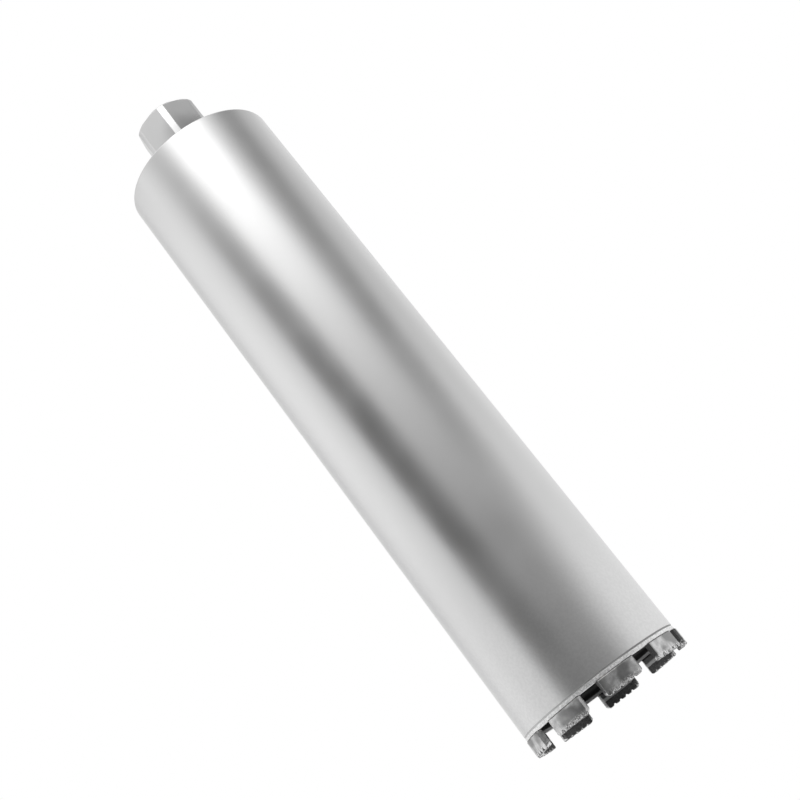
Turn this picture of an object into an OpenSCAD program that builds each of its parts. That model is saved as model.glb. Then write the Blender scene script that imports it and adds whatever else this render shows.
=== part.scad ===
// Wet core drill bit: a steel tube with notched diamond segments brazed around its rim,
// and an end plate with a threaded hexagon hub at the other end.
// It stands on its segment tips, with +Z along the bit's axis and the hub on top.

/* [Barrel] */
// Outside diameter of the steel tube
barrel_d = 100.5; // [90:0.5:120]
// Length of the steel tube, rim to end
barrel_len = 408; // [150:1:500]
// Wall of the steel tube
barrel_wall = 2.5; // [2:0.1:3]
// Rounding of the tube's outer edge at the hub end
barrel_round = 1; // [0.4:0.1:1.4]
// Height of the bare band between the rim and the turned groove
band_h = 2.1; // [1:0.1:5]
// Width of the turned groove above the bare band
groove_w = 0.9; // [0.6:0.1:2]
// Depth of the turned groove
groove_depth = 0.3; // [0.1:0.05:0.8]

/* [Segments] */
// Number of cutting segments around the rim
segment_count = 9; // [6:1:10]
// Arc length of a segment, measured at the middle of its thickness
segment_len = 24; // [18:0.5:26]
// Height of a segment, from its tooth tips to its back face
segment_h = 9.5; // [7:0.5:13]
// Thickness of a segment, across the tube wall
segment_t = 4; // [3.8:0.1:5]
// How far the segments stand proud of the tube on the outside
segment_proud = 0.75; // [0.3:0.05:1.1]
// Bevel on the upright corners of a segment
segment_bevel = 1.5; // [0.4:0.1:1.7]
// Number of teeth along a segment's cutting face
tooth_count = 5; // [4:1:6]
// Depth of the notches between the teeth, at the outer face
notch_depth = 1.8; // [0.9:0.1:2.5]
// Depth of the notches at the inner face
notch_depth_in = 0.8; // [0.3:0.1:1.6]
// Width of a notch at the cutting face, on the outside
notch_w = 3; // [2:0.1:3.6]
// Width of a notch at its root
notch_root_w = 0.6; // [0.3:0.1:1.5]
// Width of the slant cut off the cutting face at each end
end_cut_w = 2.2; // [1:0.1:3]
// Height of the slant cut at each end
end_cut_h = 1.5; // [0.6:0.1:3]
// Turn of the crown about the axis, from the hub's corner to a segment's middle
crown_turn = 6.1; // [0:0.1:40]

/* [Brazing] */
// Thickness of the brazing film between the rim and a segment
braze_t = 0.2; // [0.1:0.05:0.4]
// Leg of the brazing fillet up each side of the rim
braze_fillet = 0.25; // [0.15:0.05:0.8]

/* [End plate] */
// Thickness of the plate that closes the tube
plate_t = 8; // [5:0.5:14]
// Radial clearance of the plate in the tube and of the spigot in the plate
fit_gap = 0.1; // [0.05:0.05:0.3]
// Leg of the two chamfers that hold the weld between the plate and the tube
seam_leg = 0.9; // [0.5:0.1:1.4]

/* [Hub] */
// Height of the hub above the end plate
hub_h = 42.7; // [36:0.1:60]
// Diameter of the round bar that the hub is made from
hub_bar_d = 45; // [43:0.1:47]
// Size of the hexagon across its flats
hex_af = 41; // [39.5:0.5:43.5]
// Height of the round foot that the flats stop at
hub_foot_h = 6; // [5:0.5:12]
// Chamfer around the hub's end
hub_chamfer = 1.2; // [0.5:0.1:2.6]
// Diameter of the spigot that passes through the end plate
spigot_d = 38; // [35:0.5:42]
// Minor diameter of the spindle thread
thread_minor_d = 28.2; // [26:0.1:30]
// Diameter of the countersink at each end of the thread
thread_mouth_d = 33; // [31:0.5:34]
// Leg of the fillet weld between the hub's foot and the plate
foot_weld_leg = 4.5; // [2:0.5:5]

/* [Hidden] */
$fn = 144;
// Overlap given to cutting solids so that no thin skin is left
over = 1;

// Radii
barrel_r = barrel_d / 2;
bore_r = barrel_r - barrel_wall;
segment_out_r = barrel_r + segment_proud;
segment_in_r = segment_out_r - segment_t;
segment_mid_r = (segment_out_r + segment_in_r) / 2;
plate_r = bore_r - fit_gap;
spigot_r = spigot_d / 2;
hub_r = hub_bar_d / 2;

// Heights, up from the tooth tips
rim_z = segment_h + braze_t;
band_top_z = rim_z + band_h;
top_z = rim_z + barrel_len;
plate_z = top_z - plate_t;
hub_top_z = top_z + hub_h;

// Segments
pitch_angle = 360 / segment_count;
segment_angle = segment_len / segment_mid_r * 180 / PI;
// A slant at each end stands for half a notch, so the teeth share what it leaves
tooth_len = (segment_len - end_cut_w) / tooth_count;
tooth_angle = tooth_len / segment_mid_r * 180 / PI;
// Angle at which a notch's root rises outwards
notch_lean = atan((notch_depth - notch_depth_in) / segment_t);

// Ledges of a segment beside the tube wall, which limit the brazing fillets
ledge_out = segment_proud;
ledge_in = segment_t - barrel_wall - segment_proud;
fillet_out = min(braze_fillet, ledge_out);
fillet_in = min(braze_fillet, ledge_in);

// Material outside a quarter circle, which rounds a convex corner of a profile
module corner_waste(r) {
    difference() {
        square(r + over);
        circle(r);
    }
}

module barrel_profile() {
    difference() {
        translate([bore_r, rim_z])
            square([barrel_wall, barrel_len]);
        translate([barrel_r - groove_depth, band_top_z])
            square([groove_depth + over, groove_w]);
        translate([barrel_r - barrel_round, top_z - barrel_round])
            corner_waste(barrel_round);
        polygon([
            [bore_r - over, top_z + over],
            [bore_r - over, top_z - seam_leg - over],
            [bore_r + seam_leg + over, top_z + over]
        ]);
    }
}

module barrel() {
    color("silver")
        rotate_extrude()
            barrel_profile();
}

// Disc with a hole for the spigot and a chamfered edge that the seam weld fills
module end_plate() {
    hole_r = spigot_r + fit_gap;
    color("gray")
        rotate_extrude()
            polygon([
                [hole_r, plate_z],
                [plate_r, plate_z],
                [plate_r, top_z - seam_leg],
                [plate_r - seam_leg, top_z],
                [hole_r, top_z]
            ]);
}

// Seam between the plate and the tube, ground flush with both
module plate_weld() {
    color("lightgray")
        rotate_extrude()
            polygon([
                [plate_r, top_z - seam_leg],
                [bore_r, top_z - seam_leg],
                [bore_r + seam_leg, top_z],
                [plate_r - seam_leg, top_z]
            ]);
}

// Round-nosed bar whose side falls at 45 degrees across the middle of the hub's chamfer
module chamfer_dome() {
    edge_r = hub_r - hub_chamfer / 2;
    dome_r = edge_r * sqrt(2);
    translate([0, 0, hub_top_z - hub_chamfer / 2 - edge_r]) {
        sphere(r = dome_r);
        mirror([0, 0, 1])
            cylinder(h = hub_h, r = dome_r);
    }
}

// Six flats milled on a round bar, so that a narrow strip of the bar is left at each corner
module hub_head() {
    intersection() {
        translate([0, 0, top_z])
            cylinder(h = hub_h, r = hub_r);
        translate([0, 0, top_z]) {
            cylinder(h = hub_foot_h, r = hub_r + over);
            rotate(30)
                cylinder(h = hub_h + over, d = hex_af / cos(30), $fn = 6);
        }
        chamfer_dome();
    }
}

// Thread bore right through the hub, opened out at both ends
module thread_bore() {
    bore_minor_r = thread_minor_d / 2;
    mouth_r = thread_mouth_d / 2;
    mouth_h = mouth_r - bore_minor_r;
    rotate_extrude()
        polygon([
            [0, plate_z - over],
            [mouth_r + over, plate_z - over],
            [bore_minor_r, plate_z + mouth_h],
            [bore_minor_r, hub_top_z - mouth_h],
            [mouth_r + over, hub_top_z + over],
            [0, hub_top_z + over]
        ]);
}

module hub() {
    color("darkgray")
        difference() {
            union() {
                hub_head();
                translate([0, 0, plate_z])
                    cylinder(h = plate_t, r = spigot_r);
            }
            thread_bore();
        }
}

// Fillet weld around the hub's foot
module hub_weld() {
    color("lightgray")
        rotate_extrude()
            polygon([
                [hub_r, top_z],
                [hub_r + foot_weld_leg, top_z],
                [hub_r, top_z + foot_weld_leg]
            ]);
}

// Places a child at segment i, with the child's middle on the -Y axis
module at_segment(i) {
    rotate(crown_turn + (i - 1) * pitch_angle)
        children();
}

// Ring sector of the given profile, with its middle on the -Y axis
module sector(angle) {
    rotate(-90 - angle / 2)
        rotate_extrude(angle = angle)
            children();
}

// V notch with a flat root, cut up into the cutting face and deeper on the outside
module notch(turn) {
    slope = (notch_w - notch_root_w) / 2 / (notch_depth * cos(notch_lean));
    root_len = segment_t / cos(notch_lean);
    rotate(turn)
        translate([0, -segment_out_r, notch_depth])
            rotate([90 - notch_lean, 0, 0])
                translate([0, 0, -root_len - over])
                    linear_extrude(height = root_len + 2 * over)
                        polygon([
                            [-notch_root_w / 2, 0],
                            [notch_root_w / 2, 0],
                            [notch_w / 2 + slope * over, -notch_depth - over],
                            [-notch_w / 2 - slope * over, -notch_depth - over]
                        ]);
}

// Radial prism that cuts the slant at one end of the cutting face
module end_cut(side) {
    run = end_cut_w / end_cut_h * over;
    rotate(side * segment_angle / 2)
        translate([0, over - segment_in_r, 0])
            rotate([90, 0, 0])
                linear_extrude(height = segment_t + 2 * over)
                    polygon([
                        [-side * (end_cut_w + run), -over],
                        [side * run, end_cut_h + over],
                        [side * run, -over]
                    ]);
}

// Waste prisms that bevel the four upright corners of a segment and its brazing
module corner_bevels() {
    waste_w = segment_bevel * sqrt(2);
    for (side = [-1, 1], r = [segment_in_r, segment_out_r])
        rotate(side * segment_angle / 2)
            translate([0, -r, -over])
                rotate(45)
                    translate([-waste_w / 2, -waste_w / 2, 0])
                        cube([waste_w, waste_w, rim_z + braze_fillet + 2 * over]);
}

module segment(i) {
    color("dimgray")
        at_segment(i)
            difference() {
                sector(segment_angle)
                    translate([segment_in_r, 0])
                        square([segment_t, segment_h]);
                for (k = [1 : tooth_count - 1])
                    notch((k - tooth_count / 2) * tooth_angle);
                for (side = [-1, 1])
                    end_cut(side);
                corner_bevels();
            }
}

// Film under the rim with a small fillet up each side of the tube wall
module braze(i) {
    color("goldenrod")
        at_segment(i)
            difference() {
                sector(segment_angle)
                    polygon([
                        [bore_r - fillet_in, segment_h],
                        [barrel_r + fillet_out, segment_h],
                        [barrel_r, rim_z + fillet_out],
                        [barrel_r, rim_z],
                        [bore_r, rim_z],
                        [bore_r, rim_z + fillet_in]
                    ]);
                corner_bevels();
            }
}

barrel();
end_plate();
plate_weld();
hub();
hub_weld();
for (i = [1 : segment_count])
    segment(i);
for (i = [1 : segment_count])
    braze(i);
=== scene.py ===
"""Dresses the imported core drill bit: finishes, welds, thread and segment detail, on the CAD frame.

Everything is in metres, with +Z along the bit's axis and the tooth tips on the floor at zero.
"""

import math

import bmesh
import bpy
from mathutils import Matrix, Quaternion, Vector, noise


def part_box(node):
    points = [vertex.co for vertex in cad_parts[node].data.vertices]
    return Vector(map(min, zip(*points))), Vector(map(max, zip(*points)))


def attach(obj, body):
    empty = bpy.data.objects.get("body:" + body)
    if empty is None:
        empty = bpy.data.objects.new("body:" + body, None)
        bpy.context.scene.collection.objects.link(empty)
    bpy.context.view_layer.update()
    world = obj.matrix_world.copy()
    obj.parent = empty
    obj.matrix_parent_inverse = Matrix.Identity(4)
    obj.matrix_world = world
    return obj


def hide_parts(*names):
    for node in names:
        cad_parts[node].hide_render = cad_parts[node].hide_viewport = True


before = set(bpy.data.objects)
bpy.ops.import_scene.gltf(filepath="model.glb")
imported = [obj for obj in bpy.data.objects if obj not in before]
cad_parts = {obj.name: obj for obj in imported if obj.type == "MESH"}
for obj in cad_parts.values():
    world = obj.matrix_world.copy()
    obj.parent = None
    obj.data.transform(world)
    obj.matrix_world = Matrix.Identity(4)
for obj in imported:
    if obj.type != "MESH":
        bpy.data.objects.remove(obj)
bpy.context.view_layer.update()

MM = 0.001
INCH = 25.4 * MM
BODY = "root"

# Tube, read from the frame where the frame has it
BARREL_LOW, BARREL_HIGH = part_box("barrel")
BARREL_R = BARREL_HIGH.x
RIM_Z = BARREL_LOW.z
TOP_Z = BARREL_HIGH.z
WALL = 2.5 * MM
BORE_R = BARREL_R - WALL
BARREL_ROUND = 1.0 * MM
BAND_H = 2.1 * MM
BAND_TOP_Z = RIM_Z + BAND_H
GROOVE_W = 0.9 * MM
GROOVE_DEPTH = 0.3 * MM
GROOVE_TOP_Z = BAND_TOP_Z + GROOVE_W
GROOVE_ROUND = 0.12 * MM
EDGE_BREAK = 0.25 * MM

# End plate and its seam
PLATE_LOW, PLATE_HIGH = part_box("end_plate")
PLATE_R = PLATE_HIGH.x
PLATE_Z = PLATE_LOW.z
FIT_GAP = 0.1 * MM
SEAM_LEG = 0.9 * MM
SEAM_CROWN = 0.06 * MM

# Hub
HUB_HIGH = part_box("hub")[1]
HUB_R = HUB_HIGH.y
HUB_TOP_Z = HUB_HIGH.z
HEX_AF = 41.0 * MM
HUB_FOOT_H = 6.0 * MM
HUB_CHAMFER = 1.2 * MM
HUB_EDGE_BLEND = 0.16 * MM
SPIGOT_R = 19.0 * MM
PLATE_HOLE_R = SPIGOT_R + FIT_GAP
FOOT_WELD_LEG = 4.5 * MM

# Spindle thread, 1 1/4 inch with 7 turns to the inch and 60 degree flanks
THREAD_MINOR_R = 14.1 * MM
THREAD_MAJOR_R = 1.25 * INCH / 2
THREAD_MOUTH_R = 16.5 * MM
THREAD_PITCH = INCH / 7
# Shares of the pitch that the thread's crest, its root and each flank take up
THREAD_CREST = 1 / 4
THREAD_ROOT = 1 / 8
THREAD_FLANK = (1 - THREAD_CREST - THREAD_ROOT) / 2

# Segments
SEGMENT_COUNT = sum(name.startswith("segment_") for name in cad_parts)
SEGMENT_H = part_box("segment_1")[1].z
SEGMENT_LEN = 24.0 * MM
SEGMENT_T = 4.0 * MM
SEGMENT_PROUD = 0.75 * MM
SEGMENT_BEVEL = 1.5 * MM
SEGMENT_OUT_R = BARREL_R + SEGMENT_PROUD
SEGMENT_IN_R = SEGMENT_OUT_R - SEGMENT_T
SEGMENT_MID_R = (SEGMENT_OUT_R + SEGMENT_IN_R) / 2
CROWN_TURN = math.radians(6.1)
SEGMENT_PITCH = math.tau / SEGMENT_COUNT
TOOTH_COUNT = 5
NOTCH_DEPTH = 1.8 * MM
NOTCH_DEPTH_IN = 0.8 * MM
NOTCH_W = 3.0 * MM
NOTCH_ROOT_W = 0.6 * MM
NOTCH_RUN = (NOTCH_W - NOTCH_ROOT_W) / 2 / NOTCH_DEPTH
END_CUT_W = 2.2 * MM
END_CUT_H = 1.5 * MM
CROWN_LAYER_H = 4.2 * MM
BRAZE_FILLET = 0.25 * MM

# Mesh fineness
LATHE_STEPS = 360
SEGMENT_CELL = 0.28 * MM
MERGE_GAP = 1e-6
SHORTEST_EDGE = 1e-7

# Photograph's camera
CAMERA_DISTANCE = 0.72411
CAMERA_HEIGHT = -0.03943
CAMERA_TURN = math.radians(-6.27)
CAMERA_AIM = Vector((0.00906, 0, 0.21035))
CAMERA_ROLL = math.radians(-37.887)
CAMERA_LENS = 58.11

# Studio
ROOM_LIGHT = 0.8
WHITE = (1, 1, 1, 1)
FLOOR_DROP = 0.3 * MM
FLOOR_SIZE = 6.0
FLOOR_FADE_START = 0.7
FLOOR_FADE_END = 2.6

# Places of the two inputs and of the output on a Mix node, for numbers and for colours
MIX_SOCKETS = {"FLOAT": (2, 3, 0), "RGBA": (6, 7, 2)}


# Mesh helpers

def polar(radius, turn, z):
    """Point at a radius and height, with the turn measured anticlockwise from the -Y axis."""
    return Vector((radius * math.sin(turn), -radius * math.cos(turn), z))


def axial(radius, turn, z):
    """Point at a radius and height, with the turn measured anticlockwise from the +X axis."""
    return Vector((radius * math.cos(turn), radius * math.sin(turn), z))


def round_corners(corners, arc_steps=4):
    """Closed outline from (x, z, radius) corners, with each corner rounded by its radius."""
    outline = []
    count = len(corners)
    for k in range(count):
        corner = Vector(corners[k][:2])
        radius = corners[k][2]
        if radius == 0:
            outline.append(corner)
            continue
        back = (Vector(corners[k - 1][:2]) - corner).normalized()
        ahead = (Vector(corners[(k + 1) % count][:2]) - corner).normalized()
        half = back.angle(ahead) / 2
        centre = corner + (back + ahead).normalized() * radius / math.sin(half)
        first = corner + back * radius / math.tan(half) - centre
        last = corner + ahead * radius / math.tan(half) - centre
        span = first.angle(last)
        for step in range(arc_steps + 1):
            t = step / arc_steps
            mixed = first * math.sin((1 - t) * span) + last * math.sin(t * span)
            outline.append(centre + mixed / math.sin(span))
    return outline


def add_grid(mesh, rows, closed_across=False):
    """Adds quads between equally long rows of points."""
    made = [[mesh.verts.new(point) for point in row] for row in rows]
    width = len(rows[0])
    across = width if closed_across else width - 1
    for low, high in zip(made, made[1:]):
        for k in range(across):
            right = (k + 1) % width
            mesh.faces.new((low[k], low[right], high[right], high[k]))
    return made


def clean(mesh):
    """Merges points that coincide and turns every face outwards."""
    bmesh.ops.remove_doubles(mesh, verts=mesh.verts, dist=MERGE_GAP)
    bmesh.ops.dissolve_degenerate(mesh, edges=mesh.edges, dist=SHORTEST_EDGE)
    bmesh.ops.recalc_face_normals(mesh, faces=mesh.faces)


def lathe(outline):
    """Closed ring with the given outline of (radius, z) points."""
    mesh = bmesh.new()
    rows = []
    for radius, z in outline + outline[:1]:
        rows.append([polar(radius, math.tau * k / LATHE_STEPS, z) for k in range(LATHE_STEPS)])
    add_grid(mesh, rows, closed_across=True)
    clean(mesh)
    return mesh


def between(marks, step):
    """All marks, with even points added so that none are further apart than the step."""
    points = [marks[0]]
    for low, high in zip(marks, marks[1:]):
        count = max(1, math.ceil((high - low) / step))
        points += [low + (high - low) * k / count for k in range(1, count + 1)]
    return points


# Object helpers

def new_object(name, data):
    """Links a new object with the given data into the scene."""
    made = bpy.data.objects.new(name, data)
    bpy.context.scene.collection.objects.link(made)
    return made


def mesh_object(name, mesh, material):
    """Turns a bmesh into an object with one material."""
    data = bpy.data.meshes.new(name)
    mesh.to_mesh(data)
    mesh.free()
    data.materials.append(material)
    return new_object(name, data)


def new_piece(name, mesh, material, nodes, weighted=True):
    """Makes a smooth object from a bmesh, gives it its finish and sets it on the CAD body.

    Weighted normals keep the flat faces between rounded edges flat.
    """
    piece = mesh_object(name, mesh, material)
    piece.data.shade_smooth()
    if weighted:
        piece.modifiers.new("normals", "WEIGHTED_NORMAL")
    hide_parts(*nodes)
    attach(piece, BODY)


# Node helpers

def grey(level):
    """Colour of one plain tone."""
    return (level, level, level)


class Finish:
    """Builds one node material on a Principled shader.

    Its patterns are laid out in object coordinates, in metres, or in those of another space.
    """

    def __init__(self, name, colour, metallic, roughness, space="Object"):
        self.material = bpy.data.materials.new(name)
        self.material.use_nodes = True
        self.tree = self.material.node_tree
        self.shader = self.tree.nodes["Principled BSDF"]
        self.shader.inputs["Base Color"].default_value = (*colour, 1)
        self.shader.inputs["Metallic"].default_value = metallic
        self.shader.inputs["Roughness"].default_value = roughness
        self.place = self.add("ShaderNodeTexCoord").outputs[space]

    def add(self, kind, **settings):
        """New node with the given settings."""
        made = self.tree.nodes.new(kind)
        for key, value in settings.items():
            setattr(made, key, value)
        return made

    def feed(self, socket, value):
        """Links an output, or sets a plain value."""
        if isinstance(value, bpy.types.NodeSocket):
            self.tree.links.new(value, socket)
        else:
            socket.default_value = value

    def math(self, operation, *values):
        """Result of one operation on numbers or outputs."""
        made = self.add("ShaderNodeMath", operation=operation)
        for socket, value in zip(made.inputs, values):
            self.feed(socket, value)
        return made.outputs[0]

    def axis(self, letter):
        """One coordinate of the place."""
        split = self.add("ShaderNodeSeparateXYZ")
        self.feed(split.inputs[0], self.place)
        return split.outputs[letter]

    def radius(self):
        """Distance from the bit's axis."""
        flat = self.add("ShaderNodeVectorMath", operation="MULTIPLY")
        self.feed(flat.inputs[0], self.place)
        flat.inputs[1].default_value = (1, 1, 0)
        length = self.add("ShaderNodeVectorMath", operation="LENGTH")
        self.feed(length.inputs[0], flat.outputs[0])
        return length.outputs["Value"]

    def distance(self, spot):
        """Distance from a spot."""
        made = self.add("ShaderNodeVectorMath", operation="DISTANCE")
        self.feed(made.inputs[0], self.place)
        made.inputs[1].default_value = spot
        return made.outputs["Value"]

    def turn(self):
        """Angle about the axis, from -pi to pi."""
        return self.math("ARCTAN2", self.axis("Y"), self.axis("X"))

    def ramp(self, value, start, end, low=0.0, high=1.0):
        """Runs smoothly from low to high as the value goes from start to end."""
        made = self.add("ShaderNodeMapRange", interpolation_type="SMOOTHSTEP")
        for socket, number in zip(made.inputs, (value, start, end, low, high)):
            self.feed(socket, number)
        return made.outputs[0]

    def spread(self, value, low=0.0, high=1.0, margin=0.3):
        """Runs from low to high over a noise's middle, with a margin left at both ends."""
        return self.ramp(value, margin, 1 - margin, low, high)

    def noise(self, size, detail, stretch=(1, 1, 1), place=None, rough=0.55, shift=(0, 0, 0)):
        """Noise from 0 to 1, with features of about the given size in metres."""
        mapping = self.add("ShaderNodeMapping")
        self.feed(mapping.inputs["Vector"], place or self.place)
        mapping.inputs["Location"].default_value = shift
        mapping.inputs["Scale"].default_value = stretch
        made = self.add("ShaderNodeTexNoise")
        self.feed(made.inputs["Vector"], mapping.outputs[0])
        made.inputs["Scale"].default_value = 1 / size
        made.inputs["Detail"].default_value = detail
        made.inputs["Roughness"].default_value = rough
        return made.outputs["Fac"]

    def cells(self, size):
        """Distance from the nearest of many scattered points, as a share of the size."""
        made = self.add("ShaderNodeTexVoronoi", feature="F1")
        self.feed(made.inputs["Vector"], self.place)
        made.inputs["Scale"].default_value = 1 / size
        return made.outputs["Distance"]

    def mix(self, share, first, second):
        """Mix of two numbers or two colours."""
        coloured = any(isinstance(value, tuple) or getattr(value, "type", None) == "RGBA"
                       for value in (first, second))
        kind = "RGBA" if coloured else "FLOAT"
        made = self.add("ShaderNodeMix", data_type=kind)
        from_first, from_second, result = MIX_SOCKETS[kind]
        self.feed(made.inputs[0], share)
        for index, value in ((from_first, first), (from_second, second)):
            if isinstance(value, tuple):
                value = (*value, 1)
            self.feed(made.inputs[index], value)
        return made.outputs[result]

    def bump(self, height, depth, below=None):
        """Bump whose height runs from 0 to 1 over the given depth in metres."""
        made = self.add("ShaderNodeBump")
        made.inputs["Strength"].default_value = 1
        self.feed(made.inputs["Distance"], depth)
        self.feed(made.inputs["Height"], height)
        if below is not None:
            self.feed(made.inputs["Normal"], below)
        return made.outputs[0]

    def dress(self, colour, roughness, normal):
        """Feeds the Principled shader and gives back the material."""
        self.feed(self.shader.inputs["Base Color"], colour)
        self.feed(self.shader.inputs["Roughness"], roughness)
        self.feed(self.shader.inputs["Normal"], normal)
        return self.material

    def blend(self, share, first, second):
        """Shows the first shader where the share is 0 and the second where it is 1."""
        made = self.add("ShaderNodeMixShader")
        for socket, value in zip(made.inputs, (share, first.outputs[0], second.outputs[0])):
            self.feed(socket, value)
        self.feed(self.tree.nodes["Material Output"].inputs["Surface"], made.outputs[0])
        return self.material


# Finishes

def barrel_finish():
    """Satin ground tube, with a turned bright band at the rim, painted shade in the groove and a
    dark bore with painted shade near the rim.
    """
    # Heights between which the grain, the bare rim and the painted shade in the bore fade out
    grain_full_z, grain_end_z = RIM_Z + 4 * MM, RIM_Z + 95 * MM
    bare_full_z, bare_end_z = RIM_Z + 1.2 * MM, RIM_Z + 2.2 * MM
    bore_shade_full_z, bore_shade_end_z = RIM_Z + 3.5 * MM, RIM_Z + 5.5 * MM
    # Places across the bit between which the painted shade in the groove deepens
    shade_start_x, shade_end_x = 4 * MM, 20 * MM
    bore_limit_r = BORE_R + 0.3 * MM

    finish = Finish("satin_tube", grey(0.6), metallic=1, roughness=0.34)
    height = finish.axis("Z")
    cloud = finish.noise(40 * MM, detail=2)
    grain = finish.noise(0.7 * MM, detail=4, rough=0.7)
    blotch = finish.noise(1.1 * MM, detail=3, rough=0.7)
    speck = finish.noise(1.6 * MM, detail=2, rough=0.6)
    hairline = finish.noise(0.5 * MM, detail=2, stretch=(0.04, 0.04, 1))
    near_rim = finish.ramp(height, grain_end_z, grain_full_z)
    in_band = finish.math("LESS_THAN", height, BAND_TOP_Z)
    in_groove = finish.math("MULTIPLY", finish.math("GREATER_THAN", height, BAND_TOP_Z),
                            finish.math("LESS_THAN", height, GROOVE_TOP_Z))
    in_bore = finish.math("LESS_THAN", finish.radius(), bore_limit_r)
    bare_edge = finish.ramp(height, bare_end_z, bare_full_z)
    painted_bore_shade = finish.ramp(height, bore_shade_end_z, bore_shade_full_z)

    satin = finish.mix(cloud, grey(0.63), grey(0.67))
    speckle = finish.spread(speck, 0.26, 0.74, margin=0.36)
    grained = finish.mix(finish.math("MULTIPLY", speckle, near_rim), satin, grey(0.74))
    turned = finish.mix(finish.spread(blotch, margin=0.35), grey(0.68), grey(1))
    banded = finish.mix(in_band, grained, turned)
    # Painted shade: the groove is darker, deepening towards +X
    shade = finish.ramp(finish.axis("X"), shade_start_x, shade_end_x)
    grooved = finish.mix(in_groove, banded, finish.mix(shade, grey(0.55), grey(0.3)))
    # Painted shade: near-black low in the bore, just above the bare rim
    bore_skin = finish.mix(painted_bore_shade, finish.mix(cloud, grey(0.1), grey(0.16)), grey(0.03))
    inner = finish.mix(bare_edge, bore_skin, grey(0.6))

    uneven = finish.math("ADD", cloud, finish.math("MULTIPLY", grain, 0.6))
    satin_rough = finish.ramp(uneven, 0.4, 1.2, 0.3, 0.38)
    band_rough = finish.spread(blotch, 0.46, 0.66, margin=0.35)
    outer_rough = finish.mix(in_groove, finish.mix(in_band, satin_rough, band_rough), 0.5)
    bore_rough = finish.mix(bare_edge, 0.6, 0.4)

    grain_depth = finish.mix(near_rim, 0.008 * MM, 0.035 * MM)
    lines = finish.bump(hairline, 0.006 * MM)
    return finish.dress(colour=finish.mix(in_bore, grooved, inner),
                        roughness=finish.mix(in_bore, outer_rough, bore_rough),
                        normal=finish.bump(grain, grain_depth, lines))


def plate_finish():
    """Lathe-turned face, with fine rings about the axis."""
    finish = Finish("turned_plate", grey(0.55), metallic=1, roughness=0.32)
    section = finish.add("ShaderNodeCombineXYZ")
    finish.feed(section.inputs["X"], finish.radius())
    finish.feed(section.inputs["Z"], finish.axis("Z"))
    rings = finish.noise(0.5 * MM, detail=3, place=section.outputs[0])
    cloud = finish.noise(14 * MM, detail=3)
    return finish.dress(colour=finish.mix(cloud, grey(0.51), grey(0.59)),
                        roughness=finish.spread(cloud, 0.28, 0.38),
                        normal=finish.bump(rings, 0.012 * MM))


def hub_finish():
    """Turned bar with milled flats, painted shade on one side and a dark oiled thread."""
    # Spot and reach of the painted shade on one side of the head
    painted_shade_spot = (5 * MM, -20 * MM, HUB_TOP_Z - 25 * MM)
    painted_shade_full_r, painted_shade_end_r = 6 * MM, 22 * MM
    raggedness = 6 * MM

    finish = Finish("milled_hub", grey(0.6), metallic=1, roughness=0.3)
    cloud = finish.noise(16 * MM, detail=3)
    mill = finish.noise(0.35 * MM, detail=2, stretch=(1, 1, 0.03))
    grain = finish.noise(0.4 * MM, detail=3)
    in_thread = finish.math("LESS_THAN", finish.radius(), THREAD_MOUTH_R)
    away = finish.math("ADD", finish.distance(painted_shade_spot),
                       finish.math("MULTIPLY", cloud, raggedness))
    outer = finish.mix(finish.ramp(away, painted_shade_full_r, painted_shade_end_r), grey(0.42), grey(0.66))
    oiled = finish.mix(grain, grey(0.2), grey(0.32))
    lines = finish.bump(mill, 0.008 * MM)
    return finish.dress(colour=finish.mix(in_thread, outer, oiled),
                        roughness=finish.mix(in_thread, finish.spread(cloud, 0.27, 0.36), 0.3),
                        normal=finish.bump(grain, 0.006 * MM, lines))


def weld_finish(name, level):
    """Weld metal with a fine ripple skin and faint heat tint."""
    finish = Finish(name, grey(level), metallic=1, roughness=0.34)
    cloud = finish.noise(5 * MM, detail=3)
    grain = finish.noise(0.5 * MM, detail=3)
    heat_tint = (level * 0.72, level * 0.64, level * 0.56)
    return finish.dress(colour=finish.mix(finish.ramp(cloud, 0.45, 0.7), grey(level), heat_tint),
                        roughness=finish.spread(grain, 0.26, 0.44),
                        normal=finish.bump(grain, 0.02 * MM))


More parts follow.
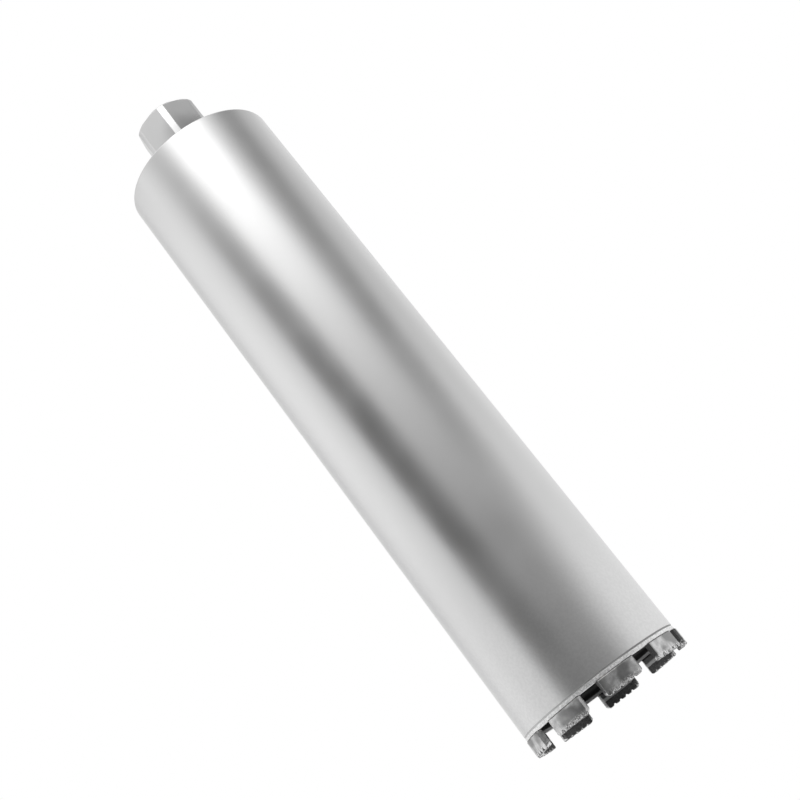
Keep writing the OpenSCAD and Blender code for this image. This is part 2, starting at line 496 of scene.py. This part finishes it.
def segment_finish():
    """Sintered metal matrix with diamond grit, ground on its outer and inner faces, with painted
    highlights and glints.
    """
    # Depths below a ground face between which it gives way to the sintered ends
    skin, skin_end = 0.08 * MM, 0.22 * MM
    # Heights between which the painted glints on the teeth give way to the ground face
    tooth_glint_full_z, tooth_glint_end_z = NOTCH_DEPTH - 0.4 * MM, NOTCH_DEPTH + 1.4 * MM
    # Heights between which the painted highlight on the backing's inner face turns dark
    inner_highlight_end_z, dark_z = CROWN_LAYER_H + 1.6 * MM, CROWN_LAYER_H + 2.8 * MM
    layer_raggedness, layer_blend = 0.5 * MM, 0.25 * MM
    # Shift of the noise that lays the dark patches on the ground faces
    patch_shift = (0.02, 0.39, 0.39)
    # Where the bevel at a segment's anticlockwise end starts, along its arc; the painted highlight
    # lies on that bevel
    bevel_start = SEGMENT_LEN / 2 - SEGMENT_BEVEL
    bevel_before, bevel_after = 0.2 * MM, 0.1 * MM

    finish = Finish("segment_matrix", grey(0.3), metallic=1, roughness=0.45)
    radius = finish.radius()
    height = finish.axis("Z")
    cloud = finish.noise(3.2 * MM, detail=4)
    grain = finish.noise(0.35 * MM, detail=4, rough=0.7)
    blotch = finish.noise(0.9 * MM, detail=2, rough=0.7)
    patch = finish.noise(11 * MM, detail=1, shift=patch_shift)
    scratch = finish.noise(0.22 * MM, detail=2, stretch=(0.08, 0.08, 1))
    crystal = finish.ramp(finish.cells(0.75 * MM), 0.3, 0.12)
    on_outer = finish.ramp(radius, SEGMENT_OUT_R - skin_end, SEGMENT_OUT_R - skin)
    on_inner = finish.ramp(radius, SEGMENT_IN_R + skin_end, SEGMENT_IN_R + skin)
    on_teeth = finish.ramp(height, tooth_glint_end_z, tooth_glint_full_z)
    around = finish.math("SUBTRACT", finish.turn(), CROWN_TURN - math.pi / 2)
    from_middle = finish.math("WRAP", around, SEGMENT_PITCH / 2, -SEGMENT_PITCH / 2)
    along = finish.math("MULTIPLY", SEGMENT_MID_R, from_middle)
    # Painted highlight on the bevel at each segment's anticlockwise end
    painted_end_highlight = finish.ramp(along, bevel_start - bevel_before, bevel_start + bevel_after)
    crown_edge = finish.math("ADD", CROWN_LAYER_H,
                             finish.math("MULTIPLY", cloud, layer_raggedness))
    on_backing = finish.ramp(finish.math("SUBTRACT", height, crown_edge), 0, layer_blend)
    above_inner_highlight = finish.ramp(height, inner_highlight_end_z, dark_z)

    sintered = finish.mix(painted_end_highlight, finish.mix(grain, grey(0.06), grey(0.2)),
                          finish.mix(grain, grey(0.4), grey(0.75)))
    dark = finish.mix(cloud, grey(0.2), grey(0.34))
    bright = finish.mix(finish.spread(cloud), grey(0.46), grey(0.7))
    ground = finish.mix(finish.ramp(patch, 0.38, 0.52), dark, bright)
    gritty = finish.mix(finish.math("MULTIPLY", crystal, 0.45), ground, grey(0.2))
    faced = finish.mix(on_outer, sintered, gritty)
    # Painted glints: bright blotches on the teeth
    painted_tooth_glint = finish.math("MULTIPLY", on_teeth, finish.ramp(blotch, 0.44, 0.66))
    toothed = finish.mix(painted_tooth_glint, faced, grey(0.9))
    # Painted highlight on the inner face just above the crown layer, darker higher up
    inner_backing = finish.mix(above_inner_highlight, finish.mix(cloud, grey(0.5), grey(0.75)),
                               finish.mix(cloud, grey(0.1), grey(0.2)))
    inner_crown = finish.mix(blotch, grey(0.02), grey(0.24))
    inner = finish.mix(on_backing, inner_crown, inner_backing)

    sintered_rough = finish.mix(painted_end_highlight, 0.45, 0.3)
    ground_rough = finish.spread(cloud, 0.32, 0.42)
    lines = finish.bump(scratch, 0.02 * MM)
    pits = finish.bump(grain, finish.mix(on_outer, 0.1 * MM, 0.03 * MM), lines)
    return finish.dress(colour=finish.mix(on_inner, toothed, inner),
                        roughness=finish.mix(on_outer, sintered_rough, ground_rough),
                        normal=finish.bump(crystal, 0.03 * MM, pits))


def braze_finish():
    """Tarnished silver solder."""
    silver = (0.33, 0.31, 0.28)
    finish = Finish("braze_metal", grey(0.3), metallic=1, roughness=0.4)
    cloud = finish.noise(1.6 * MM, detail=3)
    grain = finish.noise(0.3 * MM, detail=3)
    return finish.dress(colour=finish.mix(finish.ramp(cloud, 0.45, 0.8), grey(0.06), silver),
                        roughness=finish.spread(cloud, 0.5, 0.28),
                        normal=finish.bump(grain, 0.03 * MM))


# Tube and end plate

def make_barrel():
    """Tube with broken edges at the rim, a turned groove and a rounded top edge."""
    groove_r = BARREL_R - GROOVE_DEPTH
    corners = [
        (BORE_R, RIM_Z, EDGE_BREAK),
        (BARREL_R, RIM_Z, EDGE_BREAK),
        (BARREL_R, BAND_TOP_Z, GROOVE_ROUND),
        (groove_r, BAND_TOP_Z, GROOVE_ROUND),
        (groove_r, GROOVE_TOP_Z, GROOVE_ROUND),
        (BARREL_R, GROOVE_TOP_Z, GROOVE_ROUND),
        (BARREL_R, TOP_Z, BARREL_ROUND),
        (BORE_R + SEAM_LEG, TOP_Z, 0),
        (BORE_R, TOP_Z - SEAM_LEG, 0),
    ]
    mesh = lathe(round_corners(corners, arc_steps=5))
    new_piece("barrel_skin", mesh, barrel_finish(), ["barrel"])


def make_end_plate():
    """Disc with broken edges and a chamfer for the seam."""
    corners = [
        (PLATE_HOLE_R, PLATE_Z, EDGE_BREAK),
        (PLATE_R, PLATE_Z, EDGE_BREAK),
        (PLATE_R, TOP_Z - SEAM_LEG, 0),
        (PLATE_R - SEAM_LEG, TOP_Z, 0),
        (PLATE_HOLE_R, TOP_Z, EDGE_BREAK),
    ]
    mesh = lathe(round_corners(corners))
    new_piece("end_plate_skin", mesh, plate_finish(), ["end_plate"])


def make_seam():
    """Seam weld between plate and tube, ground nearly flush, with a shallow crown."""
    outline = [
        (PLATE_R, TOP_Z - SEAM_LEG),
        (BORE_R, TOP_Z - SEAM_LEG),
        (BORE_R + SEAM_LEG, TOP_Z),
        ((BORE_R + PLATE_R) / 2, TOP_Z + SEAM_CROWN),
        (PLATE_R - SEAM_LEG, TOP_Z),
    ]
    material = weld_finish("ground_seam", 0.58)
    new_piece("plate_weld_skin", lathe(outline), material, ["plate_weld"])


# Hub

def soft_min(a, b, blend):
    """Smaller of two lengths, with the crossing rounded over the blend."""
    share = max(blend - abs(a - b), 0) / blend
    return min(a, b) - share * share * blend / 4


def hub_turns():
    """Turns around the hub, close together where the flats meet the bar."""
    meet = math.degrees(math.acos(HEX_AF / 2 / HUB_R))
    on_flat = [-20, -14, -7, 0, 7, 14, 20]
    on_bar = [-28.5, -27, 27, 28.5, 30]
    near_edge = [-1.2, -0.8, -0.5, -0.25, 0, 0.25, 0.5, 0.8, 1.2]
    at_edges = [side * (meet + offset) for side in (-1, 1) for offset in near_edge]
    sector = on_flat + on_bar + at_edges
    turns = [math.radians(60 * k + degree) for k in range(6) for degree in sector]
    return sorted(turn % math.tau for turn in turns)


def hub_radius(turn, z):
    """Radius of the hub's head, which is a bar with six flats and a domed chamfer."""
    sixth = math.tau / 6
    from_flat = (turn + sixth / 2) % sixth - sixth / 2
    edge_r = HUB_R - HUB_CHAMFER / 2
    dome_r = edge_r * math.sqrt(2)
    above = max(z - (HUB_TOP_Z - HUB_CHAMFER / 2 - edge_r), 0)
    sides = HEX_AF / 2 / math.cos(from_flat)
    dome = math.sqrt(dome_r ** 2 - above ** 2)
    return soft_min(soft_min(HUB_R, sides, HUB_EDGE_BLEND), dome, HUB_EDGE_BLEND)


def thread_radius(turn, z):
    """Radius of the threaded bore, with its crests cut back by a cone at both mouths."""
    phase = (z / THREAD_PITCH - turn / math.tau) % 1
    depth = THREAD_MAJOR_R - THREAD_MINOR_R
    root_start = THREAD_CREST + THREAD_FLANK
    if phase < THREAD_CREST:
        cut = 0
    elif phase < root_start:
        cut = (phase - THREAD_CREST) / THREAD_FLANK * depth
    elif phase < root_start + THREAD_ROOT:
        cut = depth
    else:
        cut = (1 - phase) / THREAD_FLANK * depth
    to_mouth = min(HUB_TOP_Z - z, z - PLATE_Z)
    return max(THREAD_MINOR_R + cut, THREAD_MOUTH_R - to_mouth)


def thread_rows(turns):
    """Rows of the threaded bore that follow the helix and are cut off level at both mouths."""
    root_start = THREAD_CREST + THREAD_FLANK
    root_end = root_start + THREAD_ROOT
    # Phases near the middle of the two flanks
    rising, falling = 0.4, 0.84
    phases = (0, THREAD_CREST / 2, THREAD_CREST, rising,
              root_start, (root_start + root_end) / 2, root_end, falling)
    first = math.floor(PLATE_Z / THREAD_PITCH) - 1
    last = math.ceil(HUB_TOP_Z / THREAD_PITCH)
    rows = []
    for lap in range(first, last + 1):
        for phase in phases:
            row = []
            for turn in turns:
                z = (lap + phase + turn / math.tau) * THREAD_PITCH
                z = min(max(z, PLATE_Z), HUB_TOP_Z)
                row.append(axial(thread_radius(turn, z), turn, z))
            rows.append(row)
    return rows


def make_hub():
    """Hub with its spigot, round foot, six milled flats and a real thread through it."""
    turns = hub_turns()
    turns.append(math.tau + turns[0])
    foot_z = TOP_Z + HUB_FOOT_H
    flat_start_z = foot_z + 0.02 * MM
    flat_end_z = HUB_TOP_Z - 2 * HUB_CHAMFER
    chamfer_zone = 1.3 * HUB_CHAMFER
    chamfer_steps = 14
    rows = []

    def ring(radius, z):
        rows.append([axial(radius, turn, z) for turn in turns])

    def shaped(z, inset=0, least=0):
        rows.append([axial(max(least, hub_radius(turn, z) - inset), turn, z) for turn in turns])

    ring(THREAD_MOUTH_R, PLATE_Z)
    ring(SPIGOT_R - EDGE_BREAK, PLATE_Z)
    ring(SPIGOT_R, PLATE_Z + EDGE_BREAK)
    ring(SPIGOT_R, TOP_Z)
    ring(HUB_R, TOP_Z)
    ring(HUB_R, foot_z - EDGE_BREAK)
    shaped(foot_z, least=HUB_R - EDGE_BREAK)
    shaped(flat_start_z)
    shaped(foot_z + EDGE_BREAK)
    shaped(flat_end_z)
    for k in range(chamfer_steps + 1):
        shaped(HUB_TOP_Z - chamfer_zone * (1 - k / chamfer_steps))
    shaped(HUB_TOP_Z, inset=EDGE_BREAK)
    ring(THREAD_MOUTH_R, HUB_TOP_Z)

    mesh = bmesh.new()
    add_grid(mesh, rows)
    add_grid(mesh, thread_rows(turns))
    clean(mesh)
    new_piece("hub_body", mesh, hub_finish(), ["hub"])


def make_hub_weld():
    """Fillet weld around the foot, laid as overlapping ripples."""
    steps = 720
    across = 14
    ripples = 96
    ripple_bow = 1.1
    drift_rate = 3
    # Shares of the weld's leg that the bead, its ripples and its slow drift stand up
    bead, ripple, sway = 0.14, 0.1, 0.06
    # Shares of the bulge that go outwards and upwards
    outward, upward = 0.4, 0.05
    rows = []
    for k in range(across + 1):
        t = k / across
        arch = math.sin(math.pi * t)
        row = []
        for step in range(steps):
            turn = math.tau * step / steps
            wave = abs(math.sin(turn * ripples / 2 - ripple_bow * arch))
            drift = noise.noise(axial(1, turn, 0) * drift_rate)
            bulge = arch * (bead + ripple * wave + sway * drift) * FOOT_WELD_LEG
            radius = HUB_R + FOOT_WELD_LEG * t + bulge * outward
            z = TOP_Z + FOOT_WELD_LEG * (1 - t) + bulge * upward
            row.append(axial(radius, turn, z))
        rows.append(row)
    rows.append([axial(HUB_R, math.tau * step / steps, TOP_Z) for step in range(steps)])
    rows.append(rows[0])
    mesh = bmesh.new()
    add_grid(mesh, rows, closed_across=True)
    clean(mesh)
    new_piece("hub_weld_bead", mesh, weld_finish("weld_bead", 0.5), ["hub_weld"],
              weighted=False)


# Crown

def segment_turn(index):
    """Turn of a segment's middle from the -Y axis."""
    return CROWN_TURN + (index - 1) * SEGMENT_PITCH


def notch_depth_at(radius):
    """Depth of the notches, which are cut deeper on the outside."""
    inward = (SEGMENT_OUT_R - radius) / SEGMENT_T
    return NOTCH_DEPTH - inward * (NOTCH_DEPTH - NOTCH_DEPTH_IN)


def notch_centres():
    """Places of the notches along the arc, which is measured at the middle of the thickness."""
    tooth = (SEGMENT_LEN - END_CUT_W) / TOOTH_COUNT
    return [(k - TOOTH_COUNT / 2) * tooth for k in range(1, TOOTH_COUNT)]


def face_marks(radius):
    """Places along the arc where the cutting face bends, at the given radius."""
    scale = SEGMENT_MID_R / radius
    half = SEGMENT_LEN / 2
    root = NOTCH_ROOT_W / 2
    mouth = root + NOTCH_RUN * notch_depth_at(radius)
    marks = [-half, END_CUT_W * scale - half]
    for centre in notch_centres():
        marks += [centre + offset * scale for offset in (-mouth, -root, root, mouth)]
    return marks + [half - END_CUT_W * scale, half]


def face_height(along, radius):
    """Height of the cutting face above the tips, at a place along the arc."""
    scale = radius / SEGMENT_MID_R
    depth = notch_depth_at(radius)
    away = min(abs(along - centre) for centre in notch_centres()) * scale
    notch = depth - (away - NOTCH_ROOT_W / 2) / NOTCH_RUN
    room = (SEGMENT_LEN / 2 - abs(along)) * scale
    end = END_CUT_H * (1 - room / END_CUT_W)
    return max(0, min(notch, depth), end)


def segment_columns():
    """Places along the arc at the inner and the outer face, on every bend of the cutting face."""
    inner = face_marks(SEGMENT_IN_R)
    outer = face_marks(SEGMENT_OUT_R)
    columns = [(inner[0], outer[0])]
    for k in range(1, len(inner)):
        run_in = inner[k] - inner[k - 1]
        run_out = outer[k] - outer[k - 1]
        count = math.ceil(max(run_in, run_out) / SEGMENT_CELL)
        for step in range(1, count + 1):
            t = step / count
            columns.append((inner[k - 1] + run_in * t, outer[k - 1] + run_out * t))
    return columns


def bevelled(along, radius):
    """Place along the arc, drawn in from the segment's end where its corners are bevelled."""
    scale = SEGMENT_MID_R / radius
    side_gap = min(radius - SEGMENT_IN_R, SEGMENT_OUT_R - radius)
    cut = max(SEGMENT_BEVEL - side_gap, 0) * scale
    zone = END_CUT_W * scale
    room = SEGMENT_LEN / 2 - abs(along)
    if room >= zone:
        return along
    return math.copysign(SEGMENT_LEN / 2 - cut - room * (1 - cut / zone), along)


def roughen(mesh, index):
    """Wears the edges round and raises grit, less on the ground faces than elsewhere."""
    wear_passes, wear = 3, 0.5
    lump_size, lump_height = 1.3 * MM, 0.045 * MM
    grain_size, grain_height = 0.45 * MM, 0.04 * MM
    # Share of the grit on the ground faces, and of half the thickness where it grows to full
    ground_share, growth_zone = 0.15, 0.12
    # Share of the grit on the teeth, and its reach upwards in notch depths
    tooth_share, tooth_reach = 0.8, 1.6
    # Step through the noise from one segment to the next, so that no two are alike
    noise_step = 0.1

    for _ in range(wear_passes):
        bmesh.ops.smooth_vert(mesh, verts=mesh.verts, factor=wear,
                              use_axis_x=True, use_axis_y=True, use_axis_z=True)
    mesh.normal_update()
    moves = []
    for vert in mesh.verts:
        away = Vector((vert.co.x, vert.co.y, 0)).length
        middle = 1 - abs(away - SEGMENT_MID_R) / (SEGMENT_T / 2)
        sintered = min(max(middle / growth_zone, ground_share), 1)
        teeth = min(max(tooth_reach - vert.co.z / NOTCH_DEPTH, 0), 1)
        place = vert.co + Vector((0, 0, index * noise_step))
        lump = lump_height * noise.noise(place / lump_size)
        grain = grain_height * noise.noise(place / grain_size)
        moves.append(vert.normal * (lump + grain) * max(sintered, teeth * tooth_share))
    for vert, move in zip(mesh.verts, moves):
        vert.co += move


def make_segment(index, material):
    """Curved block with a notched cutting face, bevelled corners and a gritty skin."""
    columns = segment_columns()
    levels = math.ceil(SEGMENT_H / SEGMENT_CELL)
    depths = between([0, SEGMENT_BEVEL, SEGMENT_T - SEGMENT_BEVEL, SEGMENT_T], SEGMENT_CELL)
    last_column = len(columns) - 1
    last_layer = len(depths) - 1

    def point(column, level, layer):
        radius = SEGMENT_IN_R + depths[layer]
        inner, outer = columns[column]
        along = bevelled(inner + (outer - inner) * depths[layer] / SEGMENT_T, radius)
        low = face_height(along, radius)
        z = low + (SEGMENT_H - low) * level / levels
        return polar(radius, segment_turn(index) + along / SEGMENT_MID_R, z)

    mesh = bmesh.new()
    for layer in (0, last_layer):
        add_grid(mesh, [[point(column, level, layer) for column in range(last_column + 1)]
                        for level in range(levels + 1)])
    for level in (0, levels):
        add_grid(mesh, [[point(column, level, layer) for column in range(last_column + 1)]
                        for layer in range(last_layer + 1)])
    for column in (0, last_column):
        add_grid(mesh, [[point(column, level, layer) for level in range(levels + 1)]
                        for layer in range(last_layer + 1)])
    clean(mesh)
    roughen(mesh, index)
    new_piece(f"segment_{index}_matrix", mesh, material, [f"segment_{index}"],
              weighted=False)


def braze_section(reach):
    """Outline over the joint as (radius, z), from its outer foot to its inner foot."""
    arc_steps = 4
    bends = [math.pi / 2 * k / arc_steps for k in range(arc_steps + 1)]
    curve = [(reach * (1 - math.sin(bend)), RIM_Z + reach * (1 - math.cos(bend)))
             for bend in bends]
    outer = [(BARREL_R + reach, SEGMENT_H)] + [(BARREL_R + out, z) for out, z in curve]
    inner = [(BORE_R - reach, SEGMENT_H)] + [(BORE_R - out, z) for out, z in curve]
    film = [(BARREL_R, RIM_Z), (SEGMENT_OUT_R - SEGMENT_BEVEL, RIM_Z),
            (SEGMENT_IN_R + SEGMENT_BEVEL, RIM_Z), (BORE_R, RIM_Z)]
    return outer + film + inner[::-1]


def make_braze(index, material):
    """Thin joint under the rim, with an uneven meniscus up both sides of the tube wall."""
    steps = 120
    wobble_rate, wobble_share = 55, 0.45
    middle = segment_turn(index)
    upper = []
    lower = []
    for step in range(steps + 1):
        along = SEGMENT_LEN * (step / steps - 0.5)
        wobble = noise.noise(polar(1, middle + along / SEGMENT_MID_R, index) * wobble_rate)
        section = braze_section(BRAZE_FILLET * (1 + wobble_share * wobble))
        turns = [middle + bevelled(along, radius) / SEGMENT_MID_R for radius, z in section]
        upper.append([polar(radius, turn, z) for (radius, z), turn in zip(section, turns)])
        lower.append([polar(radius, turn, SEGMENT_H)
                      for (radius, z), turn in zip(section, turns)])
    mesh = bmesh.new()
    add_grid(mesh, upper)
    add_grid(mesh, lower)
    add_grid(mesh, [upper[0], lower[0]])
    add_grid(mesh, [upper[-1], lower[-1]])
    clean(mesh)
    new_piece(f"braze_{index}_line", mesh, material, [f"braze_{index}"])


def make_crown():
    """All segments, each with the brazing that holds it."""
    matrix_material = segment_finish()
    braze_material = braze_finish()
    for number in range(1, SEGMENT_COUNT + 1):
        make_segment(number, matrix_material)
        make_braze(number, braze_material)


# Studio

def make_camera():
    """Camera that sees the bit as the photograph does."""
    data = bpy.data.cameras.new("photo_camera")
    data.lens = CAMERA_LENS
    camera = new_object("photo_camera", data)
    spot = Vector((0, -CAMERA_DISTANCE, CAMERA_HEIGHT))
    aim = (CAMERA_AIM - spot).to_track_quat("-Z", "Y")
    turned = aim @ Quaternion((0, 0, 1), CAMERA_ROLL)
    pose = Matrix.Translation(spot) @ turned.to_matrix().to_4x4()
    camera.matrix_world = Matrix.Rotation(CAMERA_TURN, 4, "Z") @ pose
    bpy.context.scene.camera = camera


def make_world():
    """White for the camera and for reflections, and a plain level of light for the rest."""
    world = bpy.data.worlds.new("studio")
    world.use_nodes = True
    bpy.context.scene.world = world
    tree = world.node_tree
    shader = tree.nodes["Background"]
    path = tree.nodes.new("ShaderNodeLightPath")
    seen = path.outputs["Is Camera Ray"]
    for ray in ("Is Glossy Ray", "Is Transmission Ray"):
        most = tree.nodes.new("ShaderNodeMath")
        most.operation = "MAXIMUM"
        tree.links.new(seen, most.inputs[0])
        tree.links.new(path.outputs[ray], most.inputs[1])
        seen = most.outputs[0]
    level = tree.nodes.new("ShaderNodeMapRange")
    tree.links.new(seen, level.inputs["Value"])
    level.inputs["To Min"].default_value = ROOM_LIGHT
    level.inputs["To Max"].default_value = 1
    shader.inputs["Color"].default_value = WHITE
    tree.links.new(level.outputs[0], shader.inputs["Strength"])


def make_floor():
    """Pale floor that fades out far from the part and is clear from below."""
    mesh = bmesh.new()
    half = FLOOR_SIZE / 2
    corners = [mesh.verts.new((x, y, -FLOOR_DROP))
               for x, y in ((-half, -half), (half, -half), (half, half), (-half, half))]
    mesh.faces.new(corners)
    finish = Finish("pale_floor", grey(0.86), metallic=0, roughness=0.7)
    clear = finish.add("ShaderNodeBsdfTransparent")
    faded = finish.ramp(finish.radius(), FLOOR_FADE_START, FLOOR_FADE_END)
    back = finish.add("ShaderNodeNewGeometry").outputs["Backfacing"]
    material = finish.blend(finish.math("MAXIMUM", faded, back), finish.shader, clear)
    floor = mesh_object("floor", mesh, material)
    floor.visible_glossy = False


def card_mesh(radius, low, high):
    """Sheet bent around the part between a low and a high arc, with a map from 0 to 1."""
    steps = 24
    mesh = bmesh.new()
    layer = mesh.loops.layers.uv.new("card")
    rows = []
    for centre, width, z in (low, high):
        turns = [math.radians(centre - width / 2 + width * k / steps) + CAMERA_TURN
                 for k in range(steps + 1)]
        rows.append([polar(radius, turn, z) for turn in turns])
    made = add_grid(mesh, rows)
    column = {vert: k / steps for row in made for k, vert in enumerate(row)}
    upper = set(made[1])
    for face in mesh.faces:
        for loop in face.loops:
            loop[layer].uv = (column[loop.vert], 1 if loop.vert in upper else 0)
    return mesh


def card_finish(name, level, side_edge, end_edge):
    """Plain glow that fades out towards the card's edges."""
    finish = Finish(name, grey(level), metallic=0, roughness=1, space="UV")
    cover = 1
    for letter, edge in (("X", side_edge), ("Y", end_edge)):
        value = finish.axis(letter)
        for start, end in ((0, edge), (1, 1 - edge)):
            cover = finish.math("MULTIPLY", cover, finish.ramp(value, start, end))
    glow = finish.add("ShaderNodeEmission")
    glow.inputs["Color"].default_value = WHITE
    glow.inputs["Strength"].default_value = level
    clear = finish.add("ShaderNodeBsdfTransparent")
    finish.tree.nodes.remove(finish.shader)
    return finish.blend(cover, clear, glow)


def make_card(name, radius, level, low, high, side_edge, end_edge):
    """Curved studio card around the part, seen only in reflections, with soft edges.

    Low and high are each a centre and a width in degrees of turn, anticlockwise from the
    camera, and a height. The level is the card's brightness against the white room, and the
    edges are the shares of its width and height that fade out.
    """
    material = card_finish(name + "_glow", level, side_edge, end_edge)
    card = mesh_object(name, card_mesh(radius, low, high), material)
    card.visible_camera = False
    card.visible_diffuse = False
    card.visible_shadow = False
    card.visible_transmission = False
    card.visible_volume_scatter = False


def make_cards():
    """Dark flags and bright boxes around the part, whose reflections shade the bare metal."""
    make_card("glow_low", radius=0.85, level=0.25, low=(-18, 64, -0.9), high=(-18, 64, 0.42),
              side_edge=0.4, end_edge=0.4)
    make_card("flag_left", radius=1.1, level=0.08, low=(23, 79, -3.0), high=(-38, 55, 1.25),
              side_edge=0.26, end_edge=0.131)
    make_card("flag_low_left", radius=1.14, level=0.72, low=(-76, 56, -0.9), high=(-76, 56, 0.4),
              side_edge=0.4, end_edge=0.4)
    make_card("flag_right", radius=1.16, level=0.3, low=(46, 66, 0.05), high=(100, 66, 1.65),
              side_edge=0.4, end_edge=0.34)
    make_card("flag_low", radius=1.22, level=0.22, low=(18, 177, -3.0), high=(18, 90, 0.9),
              side_edge=0.42, end_edge=0.162)
    make_card("flag_far_right", radius=1.2, level=0.75, low=(108, 66, 0.2), high=(108, 66, 2.2),
              side_edge=0.5, end_edge=0.25)
    make_card("flag_far_left", radius=1.2, level=0.78, low=(-140, 36, -3.0), high=(-140, 36, 2.2),
              side_edge=0.45, end_edge=0.108)
    make_card("flag_rear", radius=1.16, level=0.3, low=(180, 36, -0.35), high=(180, 36, 2.0),
              side_edge=0.4, end_edge=0.2)
    make_card("flag_high_left", radius=1.24, level=0.45, low=(-114, 46, 1.2), high=(-114, 46, 2.3),
              side_edge=0.3, end_edge=0.15)
    make_card("flag_high_right", radius=1.24, level=0.3, low=(134, 50, 1.2), high=(134, 50, 2.3),
              side_edge=0.3, end_edge=0.15)
    make_card("box_left", radius=1.28, level=1.2, low=(-96, 70, 0.15), high=(-96, 70, 1.6),
              side_edge=0.4, end_edge=0.25)
    make_card("box_front", radius=1.3, level=2.6, low=(10, 84, 0.9), high=(6, 84, 2.4),
              side_edge=0.25, end_edge=0.2)


def make_lamp(name, turn, distance, height, width, radiance):
    """Square area lamp that faces the middle of the part, turned in degrees from the camera."""
    data = bpy.data.lights.new(name, "AREA")
    data.shape = "SQUARE"
    data.size = width
    data.energy = radiance * math.pi * width * width
    lamp = new_object(name, data)
    spot = polar(distance, math.radians(turn) + CAMERA_TURN, height)
    middle = Vector((0, 0, (TOP_Z + RIM_Z) / 2))
    lamp.location = spot
    lamp.rotation_mode = "QUATERNION"
    lamp.rotation_quaternion = (middle - spot).to_track_quat("-Z", "Y")
    lamp.visible_camera = False
    lamp.visible_glossy = False


make_camera()
make_barrel()
make_end_plate()
make_seam()
make_hub()
make_hub_weld()
make_crown()
make_world()
make_floor()
make_cards()
make_lamp("key", turn=30, distance=2.4, height=2.2, width=1.4, radiance=1.6)
make_lamp("fill", turn=-110, distance=2.6, height=1.4, width=1.6, radiance=0.8)
bpy.context.scene.view_settings.view_transform = "Standard"
